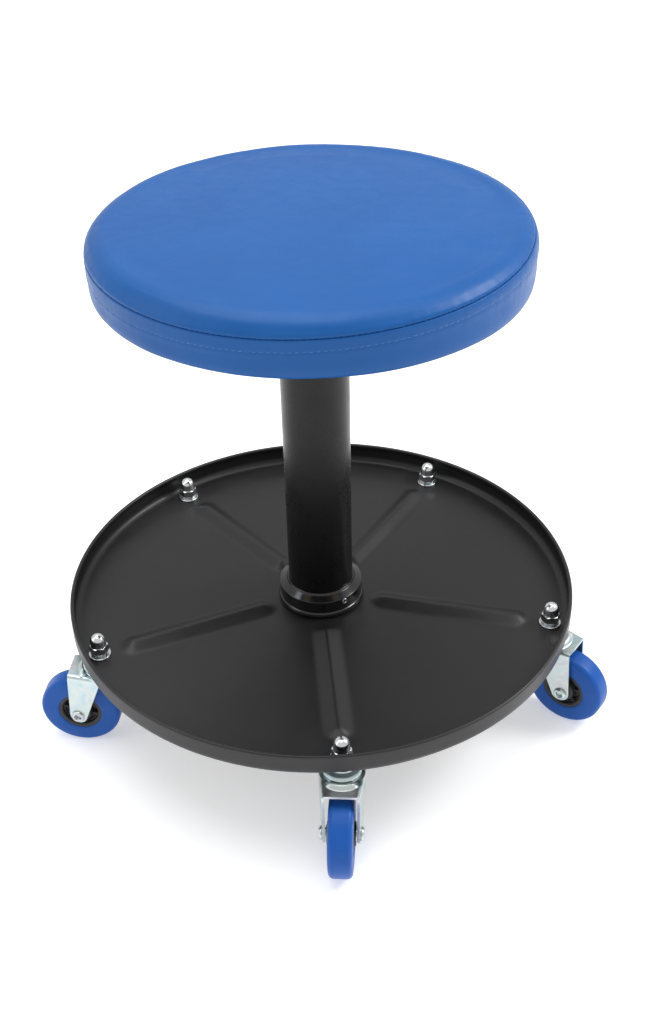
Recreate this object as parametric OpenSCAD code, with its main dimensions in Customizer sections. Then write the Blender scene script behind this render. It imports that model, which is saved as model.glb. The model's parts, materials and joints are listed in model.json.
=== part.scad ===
// Adjustable swivel stool. A round padded seat stands on a gas-lift column, and the column
// stands in a dished tool tray that rolls on five swivel casters.
// The origin is on the floor under the column, +Z is up, and the seat is at its lowest.

/* [Seat] */
// Diameter of the padded seat
seat_d = 300; // [280:1:360]
// Height of the seat's lower edge above the floor, seat down
seat_base_z = 367; // [366:1:440]
// Height of the seat's upright side, from its lower edge to the seam
band_h = 26; // [22:1:45]
// Height of the crown of the top panel above the seam
crown_h = 17; // [10:1:22]
// Thickness of the vinyl cover
cover_t = 1.2; // [0.8:0.1:2]
// Thickness of the plywood seat board
board_t = 12; // [9:1:15]
// Side of the square steel seat plate
plate_w = 150; // [120:1:180]

/* [Column and lift] */
// Outer diameter of the column tube
column_d = 50.8; // [48:0.1:60]
// Wall of the column tube
column_wall = 2; // [1.5:0.1:2.4]
// How far the seat rises
lift_travel = 120; // [60:1:130]
// Outer diameter of the pressure cylinder
cylinder_d = 28; // [26:0.5:30]
// Diameter of the piston rod
rod_d = 10; // [8:0.5:12]
// How far the lift lever tips, in degrees
lever_tilt = 6; // [3:0.5:6]
// Direction of the lift lever around the column, in degrees
lever_angle = 20; // [0:1:60]

/* [Tray] */
// Outer diameter of the tray
tray_d = 400; // [390:1:460]
// Depth of the tray inside, from the lip to the floor of the tray
tray_depth = 18; // [14:1:30]
// Height of the tray's floor above the ground
tray_floor_z = 85; // [85:1:110]
// Thickness of the tray's sheet
sheet_t = 1.2; // [0.8:0.1:2]
// Width of a raised rib
rib_w = 21; // [14:1:26]
// Height of a raised rib
rib_h = 4.5; // [2:0.5:6]
// Radius where the ribs start
rib_in = 41; // [40:1:60]
// Radius where the ribs end
rib_out = 168; // [140:1:168]

/* [Casters] */
// Diameter of the circle that the caster stems stand on
stem_circle_d = 369; // [340:1:370]
// Diameter of a wheel over its tread
wheel_d = 63; // [50:1:63]
// Width of the tread
wheel_w = 18.5; // [16:0.5:19]
// Distance of the wheel's axle behind the swivel axis
trail = 20.6; // [19:0.1:24]
// Width over the fork's legs at the axle
fork_w = 28; // [28:0.1:31]
// Directions in which the five casters trail, in degrees
headings = [-98, -40, 75, 150, 170];

/* [Hidden] */
$fn = 72;
casters = 5;
numbers = [1:casters];
caster_pieces = ["fork", "axle", "sleeve", "hub", "tyre"];
fixed_nodes = [
    "tray", "tray_rim", "column_socket", "socket_nut", "socket_screw", "column_tube", "guide_bush",
    "thrust_washers", "thrust_balls", "caster_stems", "race_cups", "race_balls", "lock_nuts",
    "flat_washers", "spring_washers", "cap_nuts", "piston_rod", "piston", "bump_stop", "rod_clip",
    "pressure_cylinder", "rod_gland", "seat_plate", "lever_pin", "plate_screws", "tee_nuts",
    "seat_board", "seat_foam", "seat_cover", "staples", "lift_lever", "lever_grip", "release_pin"
];
caster_nodes = [for (n = numbers) for (piece = caster_pieces) str("caster_", n, "_", piece)];

e = 0.01;          // overlap that lets a cutter pass through a face
fit = 0.05;        // radial clearance of a fit
gap = 0.3;         // clearance between pieces that only pass each other
first_caster = -90;
caster_step = 360 / casters;
stem_r = stem_circle_d / 2;

black = [0.09, 0.09, 0.10];
blue = [0.20, 0.42, 0.72];
zinc = [0.75, 0.80, 0.83];
bright = [0.88, 0.90, 0.92];
steel = [0.62, 0.63, 0.65];
plastic = [0.05, 0.05, 0.06];
wood = [0.72, 0.56, 0.38];
foam_colour = [0.93, 0.86, 0.62];

// tray
tray_r = tray_d / 2;
tray_under_z = tray_floor_z - sheet_t;
rim_z = tray_floor_z + tray_depth;
tray_corner_r = 7;
lip_r = 1.6;
tray_hole_r = 28.5;
rib_radius = (pow(rib_w / 2, 2) + pow(rib_h, 2)) / (2 * rib_h);

// collar that holds the column
collar_r = 33;
collar_h = 20;
flare_r = 34.5;
flare_h = 3;
spigot_r = 28;
spigot_bore_r = 20;
spigot_h = 9;
socket_floor_z = tray_floor_z + 2;
ring_nut_r = 38;
ring_nut_h = 6;
set_screw_angle = -60;
set_screw_z = tray_floor_z + 13;

// column and gas lift
column_r = column_d / 2;
column_in_r = column_r - column_wall;
column_floor_t = 3;
plate_t = 2.5;
board_z = seat_base_z + cover_t;
plate_z = board_z - plate_t;
box_h = 18;
hub_h = 30;
hub_z = plate_z - box_h - hub_h;
hub_r = 19;
bush_flange_t = 3;
bush_h = 40;
column_top_z = hub_z - bush_flange_t - 1.5;
cylinder_r = cylinder_d / 2;
cylinder_wall = 1.5;
taper_drop = 1;
rod_r = rod_d / 2;
rod_tip_r = rod_r - 1;
bearing_z = socket_floor_z + column_floor_t;
bearing_h = 7;
bearing_r = 11;
race_t = 1.8;
stop_z = bearing_z + bearing_h + 0.4;
stop_h = 6;
cylinder_z = stop_z + stop_h + 0.8;
cylinder_top_z = plate_z - box_h + 2;
cylinder_roof = 32;
gland_h = 10;
piston_h = 9;
piston_z = cylinder_z + gland_h + lift_travel + 6;
pin_r = 2.5;
pin_stand = 3.5;
pin_z = cylinder_top_z + pin_stand;

// lever under the seat plate
box_r = 24;
box_wall = 2.5;
box_out_r = box_r + 5;
pivot_r = 22;
pivot_pin_r = 2.5;
pin_head_r = 4;
pin_head_h = 1.6;
lever_h = 6;
lever_w = 12;
lever_z = pin_z + gap + lever_h / 2;
lever_bar_r = 4;
lever_drop = 11;
bend_in = 36;
bend_out = 56;
lever_end = seat_d / 2 - 14;
grip_r = 7;
grip_l = 46;

// seat
seat_r = seat_d / 2;
seam_z = seat_base_z + band_h;
seat_top_z = seam_z + crown_h;
seat_roll = 19;
crown_rise = 3;
board_r = seat_r - 6;
board_top_z = board_z + board_t;
screw_spread = 55;
screw_at = screw_spread * sqrt(2);
screw_r = 3;
screw_head_h = 4;
tee_r = 9;
tee_barrel_r = 4;
tee_t = 1.2;
staple_count = 36;
staple_circle_r = seat_r - 17;
wrap_r = seat_r - 26;

// caster
wheel_r = wheel_d / 2;
axle_z = wheel_r;
crown_t = 2.2;
crown_z = wheel_d + 7.3;
crown_top_z = crown_z + crown_t;
crown_half_w = 17;
leg_t = 2;
leg_back = -3;
leg_front = 24.5;
leg_turn = atan((crown_half_w - fork_w / 2) / trail);
fork_in = fork_w / 2 - leg_t;
dish_r = 16.5;
dish_z = wheel_d + 1.3;
dish_top_z = dish_z + crown_t;
race_w = 14;
race_lip_z = dish_top_z + 3.3;
stem_shaft_r = 4;
stem_head_r = 7;
stem_head_h = 2.3;
stem_flange_h = 1.2;
axle_r = 4;
head_r = 5.2;
head_h = 2.3;
sleeve_r = 6;
hub_out_r = 17;
boss_r = 8.6;
boss_half = fork_in - boss_r * tan(leg_turn) - gap;
tyre_edge_r = 4;
race_r = 8.3;
race_ball_r = 1.8;
race_ball_z = dish_top_z + 0.5 + gap + race_ball_r;
cup_z = race_ball_z + race_ball_r + 0.1;
nut_af = 13;
nut_r = nut_af / 2 / cos(30);
washer_r = 8.6;
washer_t = 1.6;
spring_r = 6.7;
lock_nut_h = 3.3;
lock_nut_z = tray_under_z - washer_t - lock_nut_h;
under_washer_r = 12;
spring_t = 2;
hex_h = 6.4;
dome_r = 6;
cap_z = tray_floor_z + washer_t + spring_t;
cap_h = hex_h + 9.8;

// ---------- helpers ----------

module ring(r_out, r_in, h, z = 0) {
    translate([0, 0, z])
        difference() {
            cylinder(r = r_out, h = h);
            translate([0, 0, -1])
                cylinder(r = r_in, h = h + 2);
        }
}

// A round bar between two points in the lever's own plane
module bar(from, to, r) {
    run = to - from;
    translate(from)
        rotate([0, atan2(norm([run.x, run.y]), run.z), atan2(run.y, run.x)])
            cylinder(r = r, h = norm(run));
}

// Places its children on each of the caster stems
module at_stems() {
    for (n = numbers)
        rotate(first_caster + (n - 1) * caster_step)
            translate([stem_r, 0, 0])
                children();
}

// Places its children under one stem, with +X along the way that caster trails
module at_caster(n) {
    around = first_caster + (n - 1) * caster_step;
    translate([stem_r * cos(around), stem_r * sin(around), 0])
        rotate(headings[n - 1])
            children();
}

// Turns a shape about Z into one about the wheel's axle
module on_axle() {
    translate([trail, 0, axle_z])
        rotate([90, 0, 0])
            children();
}

// Places its children on the lever's side of the column
module at_lever() {
    rotate(lever_angle)
        children();
}

// ---------- base ----------

// Section of the tray's upturned rim: corner bend, wall and rolled lip
module rim_section() {
    bend_x = tray_r - tray_corner_r;
    bend_z = tray_under_z + tray_corner_r;
    difference() {
        union() {
            translate([tray_r - sheet_t, bend_z])
                square([sheet_t, rim_z - lip_r - bend_z]);
            intersection() {
                translate([bend_x, bend_z])
                    circle(r = tray_corner_r);
                translate([bend_x, tray_under_z])
                    square(tray_corner_r);
            }
            translate([tray_r - lip_r, rim_z - lip_r])
                circle(r = lip_r);
        }
        translate([bend_x, bend_z])
            circle(r = tray_corner_r - sheet_t);
    }
}

// A rounded bar lying along a rib, whose upper part stands out of the tray's floor
module rib_bar(shrink) {
    r = rib_radius - shrink;
    inset = rib_w / 2;
    translate([rib_in + inset, 0, tray_floor_z + rib_h - rib_radius]) {
        rotate([0, 90, 0])
            cylinder(r = r, h = rib_out - rib_in - 2 * inset);
        sphere(r = r);
        translate([rib_out - rib_in - 2 * inset, 0, 0])
            sphere(r = r);
    }
}

module rib(shrink, from_z) {
    intersection() {
        rib_bar(shrink);
        translate([rib_in - 1, -rib_w, from_z])
            cube([rib_out - rib_in + 2, 2 * rib_w, 2 * rib_h]);
    }
}

module tray() {
    color(black)
        difference() {
            union() {
                translate([0, 0, tray_under_z])
                    cylinder(r = tray_r - tray_corner_r, h = sheet_t, $fn = 180);
                for (n = numbers)
                    rotate(first_caster + (n - 1) * caster_step)
                        rib(0, tray_floor_z - sheet_t / 2);
            }
            for (n = numbers)
                rotate(first_caster + (n - 1) * caster_step)
                    rib(sheet_t, tray_under_z - 1);
            translate([0, 0, tray_under_z - 1])
                cylinder(r = tray_hole_r, h = sheet_t + 2);
            at_stems()
                translate([0, 0, tray_under_z - 1])
                    cylinder(r = stem_shaft_r + gap, h = sheet_t + 2);
        }
}

module tray_rim() {
    color(black)
        rotate_extrude($fn = 180)
            rim_section();
}

module column_socket() {
    flare = flare_r - collar_r;
    color(black)
        difference() {
            rotate_extrude($fn = 120)
                difference() {
                    union() {
                        translate([spigot_bore_r, tray_floor_z - spigot_h])
                            square([spigot_r - spigot_bore_r, spigot_h + e]);
                        translate([spigot_bore_r, tray_floor_z])
                            square([flare_r - spigot_bore_r, flare_h]);
                        translate([spigot_bore_r, tray_floor_z])
                            square([collar_r - spigot_bore_r, collar_h - 2]);
                        translate([spigot_bore_r, tray_floor_z])
                            square([collar_r - 2 - spigot_bore_r, collar_h]);
                        translate([collar_r - 2, tray_floor_z + collar_h - 2])
                            circle(r = 2);
                    }
                    translate([flare_r, tray_floor_z + flare_h])
                        scale([1, (flare_h - 0.6) / flare])
                            circle(r = flare);
                    translate([0, socket_floor_z])
                        square([column_r + fit, collar_h]);
                }
            rotate(set_screw_angle)
                translate([0, 0, set_screw_z])
                    rotate([0, 90, 0])
                        cylinder(r = 2.5 + fit, h = flare_r + 5);
        }
}

module socket_nut() {
    color(zinc)
        translate([0, 0, tray_under_z - ring_nut_h])
            difference() {
                cylinder(r = ring_nut_r, h = ring_nut_h, $fn = 8);
                translate([0, 0, -1])
                    cylinder(r = spigot_r + fit, h = ring_nut_h + 2);
            }
}

module socket_screw() {
    length = collar_r - column_r + 0.6;
    color(bright)
        rotate(set_screw_angle)
            translate([column_r + 0.1, 0, set_screw_z])
                rotate([0, 90, 0])
                    difference() {
                        cylinder(r = 2.5, h = length);
                        translate([0, 0, length - 2])
                            cylinder(r = 1.4, h = 3, $fn = 6);
                    }
}

module column_tube() {
    color(black)
        difference() {
            translate([0, 0, socket_floor_z])
                cylinder(r = column_r, h = column_top_z - socket_floor_z);
            translate([0, 0, socket_floor_z + column_floor_t])
                cylinder(r = column_in_r, h = column_top_z);
            translate([0, 0, socket_floor_z - 1])
                cylinder(r = rod_tip_r + fit, h = column_floor_t + 2);
        }
}

module guide_bush() {
    color(plastic)
        difference() {
            union() {
                translate([0, 0, column_top_z - bush_h])
                    cylinder(r = column_in_r - fit, h = bush_h);
                translate([0, 0, column_top_z])
                    cylinder(r1 = column_r, r2 = column_r - 1, h = bush_flange_t);
            }
            translate([0, 0, column_top_z - bush_h - 1])
                cylinder(r = cylinder_r + fit, h = bush_h + bush_flange_t + 2);
        }
}

module thrust_washers() {
    color(steel) {
        ring(bearing_r, rod_tip_r + gap, race_t, bearing_z);
        ring(bearing_r, rod_tip_r + gap, race_t, bearing_z + bearing_h - race_t);
    }
}

module thrust_balls() {
    ball_r = bearing_h / 2 - race_t - fit;
    color(bright)
        for (turn = [0:30:330])
            rotate(turn)
                translate([(bearing_r + rod_tip_r) / 2, 0, bearing_z + bearing_h / 2])
                    sphere(r = ball_r, $fn = 24);
}

module caster_stem() {
    head_z = dish_z - gap;
    difference() {
        union() {
            translate([0, 0, head_z - 1])
                cylinder(r = stem_shaft_r, h = cap_z + hex_h + 4 - head_z + 1);
            translate([0, 0, head_z - stem_flange_h])
                cylinder(r = stem_head_r, h = stem_flange_h);
            translate([0, 0, head_z - stem_head_h])
                cylinder(r1 = stem_head_r - 2, r2 = stem_head_r, h = stem_head_h - stem_flange_h + e);
        }
        translate([0, 0, head_z - stem_head_h - 1])
            cylinder(r = 2, h = 2.2);
    }
}

module caster_stems() {
    color(zinc)
        at_stems()
            caster_stem();
}

// The upper race: a ribbed cup, clamped under the tray by the stem's lock nut
module race_cup() {
    rim_z = race_lip_z + 0.5;
    rotate_extrude()
        polygon([
            [stem_shaft_r + fit, lock_nut_z],
            [stem_shaft_r + fit, cup_z],
            [race_w - 2.4, cup_z],
            [race_w - 2, rim_z],
            [race_w, rim_z],
            [race_w, rim_z + 2.9],
            [race_w - 0.8, rim_z + 3.5],
            [race_w, rim_z + 4.1],
            [race_w, rim_z + 6.3],
            [race_w - 1.4, rim_z + 8],
            [nut_r + 1, lock_nut_z]
        ]);
}

module race_cups() {
    color(zinc)
        at_stems()
            race_cup();
}

module race_balls() {
    color(bright)
        at_stems()
            for (turn = [0:30:330])
                rotate(turn)
                    translate([race_r, 0, race_ball_z])
                        sphere(r = race_ball_r, $fn = 24);
}

module lock_nuts() {
    color(zinc)
        at_stems()
            translate([0, 0, lock_nut_z])
                difference() {
                    cylinder(r = nut_r, h = lock_nut_h, $fn = 6);
                    translate([0, 0, -1])
                        cylinder(r = stem_shaft_r + fit, h = lock_nut_h + 2);
                }
}

module flat_washers() {
    color(bright)
        at_stems() {
            ring(washer_r, stem_shaft_r + fit, washer_t, tray_floor_z);
            ring(under_washer_r, stem_shaft_r + fit, washer_t, tray_under_z - washer_t);
        }
}

module spring_washers() {
    slit = 1.2;
    color(zinc)
        at_stems()
            difference() {
                ring(spring_r, stem_shaft_r + fit, spring_t, tray_floor_z + washer_t);
                translate([0, -slit / 2, tray_floor_z])
                    cube([spring_r + 1, slit, 2 * spring_t + washer_t]);
            }
}

module cap_nut() {
    difference() {
        union() {
            intersection() {
                cylinder(r = nut_r, h = hex_h, $fn = 6);
                cylinder(r1 = nut_r + 2.5, r2 = nut_af / 2, h = hex_h);
            }
            cylinder(r = dome_r, h = cap_h - dome_r);
            translate([0, 0, cap_h - dome_r])
                sphere(r = dome_r);
        }
        translate([0, 0, -1])
            cylinder(r = stem_shaft_r + fit, h = hex_h + 5.6);
    }
}

module cap_nuts() {
    color(bright)
        at_stems()
            translate([0, 0, cap_z])
                cap_nut();
}

// ---------- gas lift ----------

module piston_rod() {
    top_z = piston_z + piston_h + 3;
    shoulder_z = bearing_z + bearing_h + 0.1;
    groove_z = socket_floor_z - 2;
    color(bright)
        difference() {
            union() {
                translate([0, 0, shoulder_z])
                    cylinder(r = rod_r, h = piston_z - shoulder_z);
                translate([0, 0, piston_z - e])
                    cylinder(r = rod_tip_r, h = top_z - piston_z);
                translate([0, 0, groove_z - 3])
                    cylinder(r = rod_tip_r, h = shoulder_z - groove_z + 3 + e);
            }
            ring(rod_r, rod_tip_r - 1, 1.2, groove_z);
        }
}

module piston() {
    color(steel)
        ring(cylinder_r - cylinder_wall - fit, rod_tip_r + fit, piston_h, piston_z + fit);
}

module bump_stop() {
    color(plastic)
        difference() {
            translate([0, 0, stop_z])
                cylinder(r1 = 16, r2 = 14, h = stop_h);
            translate([0, 0, stop_z - 1])
                cylinder(r = rod_r + fit, h = stop_h + 2);
        }
}

module rod_clip() {
    color(steel)
        difference() {
            translate([0, 0, socket_floor_z - 1.9])
                cylinder(r = 8, h = 1);
            translate([0, 0, socket_floor_z - 3])
                cylinder(r = rod_tip_r - 1 + fit, h = 3);
            translate([0, -2.6, socket_floor_z - 3])
                cube([10, 5.2, 3]);
        }
}

module pressure_cylinder() {
    roof_z = cylinder_top_z - cylinder_roof;
    color(steel)
        difference() {
            union() {
                translate([0, 0, cylinder_z])
                    cylinder(r = cylinder_r, h = roof_z - cylinder_z);
                translate([0, 0, roof_z - e])
                    cylinder(r1 = cylinder_r, r2 = cylinder_r - taper_drop, h = cylinder_roof);
            }
            translate([0, 0, cylinder_z - 1])
                cylinder(r = cylinder_r - cylinder_wall, h = roof_z - 2 - cylinder_z);
            translate([0, 0, roof_z - 4])
                cylinder(r = pin_r + fit, h = cylinder_roof + 6);
        }
}

module rod_gland() {
    color(plastic)
        ring(cylinder_r - cylinder_wall - fit, rod_r + fit, gland_h, cylinder_z + 0.2);
}

module release_pin() {
    color(bright) {
        translate([0, 0, cylinder_top_z - cylinder_roof + 4])
            cylinder(r = pin_r, h = cylinder_roof - 4 + pin_stand - 1);
        translate([0, 0, pin_z - 1 - e])
            cylinder(r1 = pin_r, r2 = pin_r - 0.8, h = 1);
    }
}

// ---------- seat ----------

// Plate, lever box and taper socket, pressed and welded into one bracket
module seat_plate() {
    box_z = plate_z - box_h;
    corner = 12;
    taper = taper_drop * hub_h / cylinder_roof;
    color(black)
        difference() {
            union() {
                translate([0, 0, plate_z])
                    linear_extrude(plate_t)
                        union() {
                            square([plate_w, plate_w - 2 * corner], center = true);
                            square([plate_w - 2 * corner, plate_w], center = true);
                            for (x = [-1, 1])
                                for (y = [-1, 1])
                                    translate([x, y] * (plate_w / 2 - corner))
                                        circle(r = corner);
                        }
                ring(box_out_r, box_out_r - box_wall, box_h + e, box_z);
                ring(box_out_r, hub_r - 1, box_wall, box_z);
                translate([0, 0, hub_z])
                    cylinder(r = hub_r, h = hub_h + e);
            }
            translate([0, 0, hub_z - e])
                cylinder(r1 = cylinder_r + fit + 0.02, r2 = cylinder_r + fit - taper, h = hub_h + e);
            translate([0, 0, box_z - 1])
                cylinder(r = cylinder_r, h = 4);
            for (turn = [45:90:315])
                rotate(turn)
                    translate([screw_at, 0, plate_z - 1])
                        cylinder(r = screw_r + gap, h = plate_t + 2);
            at_lever() {
                translate([box_r, -lever_w / 2 - 1, box_z + box_wall])
                    cube([12, lever_w + 2, box_h - box_wall + e]);
                translate([pivot_r, -box_r - 10, lever_z])
                    rotate([-90, 0, 0])
                        cylinder(r = pivot_pin_r + fit, h = 2 * box_r + 20);
            }
        }
}

module lever_pin() {
    half = sqrt(pow(box_out_r, 2) - pow(pivot_r - pin_head_r, 2)) + 0.2;
    color(zinc)
        at_lever()
            translate([pivot_r, -half, lever_z])
                rotate([-90, 0, 0]) {
                    cylinder(r = pivot_pin_r, h = 2 * half);
                    translate([0, 0, -pin_head_h])
                        cylinder(r = pin_head_r, h = pin_head_h + e);
                }
}

module plate_screws() {
    color(zinc)
        for (turn = [45:90:315])
            rotate(turn)
                translate([screw_at, 0, plate_z])
                    difference() {
                        union() {
                            translate([0, 0, -1])
                                cylinder(r = screw_r, h = plate_t + board_t);
                            translate([0, 0, -screw_head_h])
                                cylinder(r1 = 4.6, r2 = 5.2, h = screw_head_h);
                        }
                        translate([0, 0, -screw_head_h - 1])
                            cylinder(r = 2.3, h = 3, $fn = 6);
                    }
}

module tee_nuts() {
    color(zinc)
        for (turn = [45:90:315])
            rotate(turn)
                translate([screw_at, 0, 0]) {
                    ring(tee_r, screw_r + fit, tee_t, board_top_z - tee_t);
                    ring(tee_barrel_r, screw_r + fit, 9, board_top_z - tee_t - 9 + e);
                }
}

module seat_board() {
    color(wood)
        difference() {
            translate([0, 0, board_z])
                cylinder(r = board_r, h = board_t, $fn = 120);
            for (turn = [45:90:315])
                rotate(turn)
                    translate([screw_at, 0, 0]) {
                        translate([0, 0, board_z - 1])
                            cylinder(r = tee_barrel_r + fit, h = board_t + 2);
                        translate([0, 0, board_top_z - tee_t - fit])
                            cylinder(r = tee_r + fit, h = 2);
                    }
        }
}

// Half the outline of the padded seat, grown or shrunk by inset
module seat_outline(inset, base_z) {
    edge = seat_roll - inset;
    top = seat_top_z - inset;
    side = seat_r - inset;
    dome_r = (pow(side - edge, 2) + pow(crown_rise, 2)) / (2 * crown_rise);
    turn = asin((side - edge) / dome_r);
    crown = [for (k = [0:12]) [dome_r * sin(turn * k / 12), top - dome_r * (1 - cos(turn * k / 12))]];
    fall = top - crown_rise - seam_z;
    shoulder = [for (k = [1:8]) [side - edge + edge * sin(k * 90 / 8), seam_z + fall * cos(k * 90 / 8)]];
    foot_r = 3 - min(inset, 2.4);
    foot = [for (k = [0:4]) [side - foot_r + foot_r * cos(k * 90 / 4), base_z + foot_r - foot_r * sin(k * 90 / 4)]];
    polygon(concat(crown, shoulder, foot, [[0, base_z]]));
}

module seat_foam() {
    color(foam_colour)
        rotate_extrude($fn = 120)
            intersection() {
                seat_outline(cover_t + fit, seat_base_z);
                translate([0, board_top_z + fit])
                    square([seat_d, seat_d]);
            }
}

module seat_cover() {
    color(blue)
        rotate_extrude($fn = 120)
            difference() {
                seat_outline(0, seat_base_z);
                seat_outline(cover_t, board_z);
                translate([-e, seat_base_z - 1])
                    square([wrap_r, cover_t + 2]);
            }
}

module staples() {
    color(bright)
        for (n = [1:staple_count])
            rotate(n * 360 / staple_count)
                translate([staple_circle_r, 0, seat_base_z - 0.3])
                    rotate(20)
                        cube([0.8, 10, 0.6], center = true);
}

// ---------- lever ----------

module lift_lever() {
    eye = [pivot_r + 6, 0, lever_z];
    high = [bend_in, 0, lever_z];
    low = [bend_out, 0, lever_z - lever_drop];
    tip = [lever_end - 6, 0, lever_z - lever_drop];
    color(zinc)
        at_lever()
            difference() {
                union() {
                    translate([-3, -lever_w / 2, lever_z - lever_h / 2])
                        cube([pivot_r + 12, lever_w, lever_h]);
                    bar(eye, high, lever_bar_r);
                    bar(high, low, lever_bar_r);
                    bar(low, tip, lever_bar_r);
                    translate(high)
                        sphere(r = lever_bar_r);
                    translate(low)
                        sphere(r = lever_bar_r);
                }
                translate([pivot_r, -lever_w, lever_z])
                    rotate([-90, 0, 0])
                        cylinder(r = pivot_pin_r + fit, h = 2 * lever_w);
            }
}

module lever_grip() {
    color(plastic)
        at_lever()
            translate([lever_end, 0, lever_z - lever_drop])
                rotate([0, -90, 0])
                    difference() {
                        union() {
                            cylinder(r = grip_r, h = grip_l - 8);
                            translate([0, 0, grip_l - 8 - e])
                                cylinder(r1 = grip_r, r2 = grip_r - 2, h = 8);
                            sphere(r = grip_r);
                        }
                        translate([0, 0, 5])
                            cylinder(r = lever_bar_r + fit, h = grip_l);
                        translate([0, 0, -grip_r - 1])
                            cylinder(r = grip_r, h = 3);
                    }
}

// ---------- casters ----------

// One leg's outline, seen from the side: wide at the crown, round at the axle
module leg_outline() {
    eye_r = 6.8;
    top = crown_top_z - axle_z;
    hull() {
        circle(r = eye_r, $fn = 32);
        translate([leg_back - trail, top - 1])
            square([leg_front - leg_back, 1]);
    }
}

// The dish pressed into the crown around the stem, with the lower race standing in it
module crown_dish() {
    rotate_extrude()
        polygon([
            [stem_shaft_r + fit, dish_z],
            [dish_r - 1, dish_z],
            [dish_r, dish_z + 1],
            [dish_r, crown_top_z],
            [dish_r - 1.6, crown_top_z],
            [dish_r - 1.9, dish_top_z],
            [race_w, dish_top_z],
            [race_w, race_lip_z - 0.6],
            [race_w - 0.6, race_lip_z],
            [race_w - 1.6, race_lip_z],
            [race_w - 2, dish_top_z],
            [11, dish_top_z],
            [10.6, dish_top_z + 0.5],
            [stem_shaft_r + fit, dish_top_z + 0.5]
        ]);
}

// The flat bridge in front of the dish, over the wheel
module bridge() {
    back = dish_r - 4;
    inside = leg_t / 2;
    back_half_w = fork_w / 2 + (trail - back) * tan(leg_turn) - inside;
    front_half_w = fork_w / 2 + (trail - leg_front) * tan(leg_turn) - inside;
    translate([0, 0, crown_z])
        linear_extrude(crown_t)
            difference() {
                polygon([
                    [leg_front - 0.3, -front_half_w],
                    [leg_front - 0.3, front_half_w],
                    [back, back_half_w],
                    [back, -back_half_w]
                ]);
                circle(r = dish_r - 0.5);
            }
}

module fork() {
    difference() {
        union() {
            crown_dish();
            bridge();
            for (side = [-1, 1])
                translate([trail, side * fork_w / 2, axle_z])
                    rotate(-side * leg_turn)
                        translate([0, (1 - side) / 2 * leg_t, 0])
                            rotate([90, 0, 0])
                                linear_extrude(leg_t)
                                    leg_outline();
        }
        on_axle() {
            translate([0, 0, -fork_w])
                cylinder(r = axle_r + fit, h = 2 * fork_w);
            for (side = [0, 1])
                mirror([0, 0, side])
                    translate([0, 0, fork_w / 2])
                        cylinder(r = head_r + gap, h = 3);
        }
    }
}

module axle() {
    half = fork_w / 2 + 0.02;
    on_axle() {
        translate([0, 0, -half])
            cylinder(r = axle_r, h = 2 * half);
        for (side = [0, 1])
            mirror([0, 0, side])
                translate([0, 0, half - e])
                    intersection() {
                        cylinder(r = head_r, h = head_h);
                        translate([0, 0, head_h - head_r * 1.3])
                            sphere(r = head_r * 1.3);
                    }
    }
}

module sleeve() {
    half = fork_in - sleeve_r * tan(leg_turn) - 0.1;
    on_axle()
        ring(sleeve_r, axle_r + fit, 2 * half, -half);
}

module hub() {
    half = wheel_w / 2;
    dish_in = 3;
    on_axle()
        rotate_extrude()
            polygon([
                [sleeve_r + fit, -boss_half],
                [boss_r, -boss_half],
                [boss_r + 1, -half + 1],
                [boss_r + 1, -dish_in],
                [13.5, -dish_in],
                [14.5, -half + 0.8],
                [hub_out_r, -half + 0.8],
                [hub_out_r, half - 0.8],
                [14.5, half - 0.8],
                [13.5, dish_in],
                [boss_r + 1, dish_in],
                [boss_r + 1, half - 1],
                [boss_r, boss_half],
                [sleeve_r + fit, boss_half]
            ]);
}

module tyre() {
    half = wheel_w / 2;
    r = tyre_edge_r;
    on_axle()
        rotate_extrude()
            union() {
                translate([hub_out_r, -half])
                    square([wheel_r - hub_out_r - r, wheel_w]);
                translate([hub_out_r, -half + r])
                    square([wheel_r - hub_out_r, wheel_w - 2 * r]);
                for (side = [-1, 1])
                    translate([wheel_r - r, side * (half - r)])
                        circle(r = r);
            }
}

tray();
tray_rim();
column_socket();
socket_nut();
socket_screw();
column_tube();
guide_bush();
thrust_washers();
thrust_balls();
caster_stems();
race_cups();
race_balls();
lock_nuts();
flat_washers();
spring_washers();
cap_nuts();
piston_rod();
piston();
bump_stop();
rod_clip();
pressure_cylinder();
rod_gland();
seat_plate();
lever_pin();
plate_screws();
tee_nuts();
seat_board();
seat_foam();
seat_cover();
staples();
lift_lever();
lever_grip();
release_pin();
for (n = numbers) color(zinc) at_caster(n) fork();
for (n = numbers) color(steel) at_caster(n) axle();
for (n = numbers) color(steel) at_caster(n) sleeve();
for (n = numbers) color(plastic) at_caster(n) hub();
for (n = numbers) color(blue) at_caster(n) tyre();
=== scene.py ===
import json
import math

import bmesh
import bpy
import numpy as np
from mathutils import Matrix, Vector
from mathutils.bvhtree import BVHTree


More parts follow.
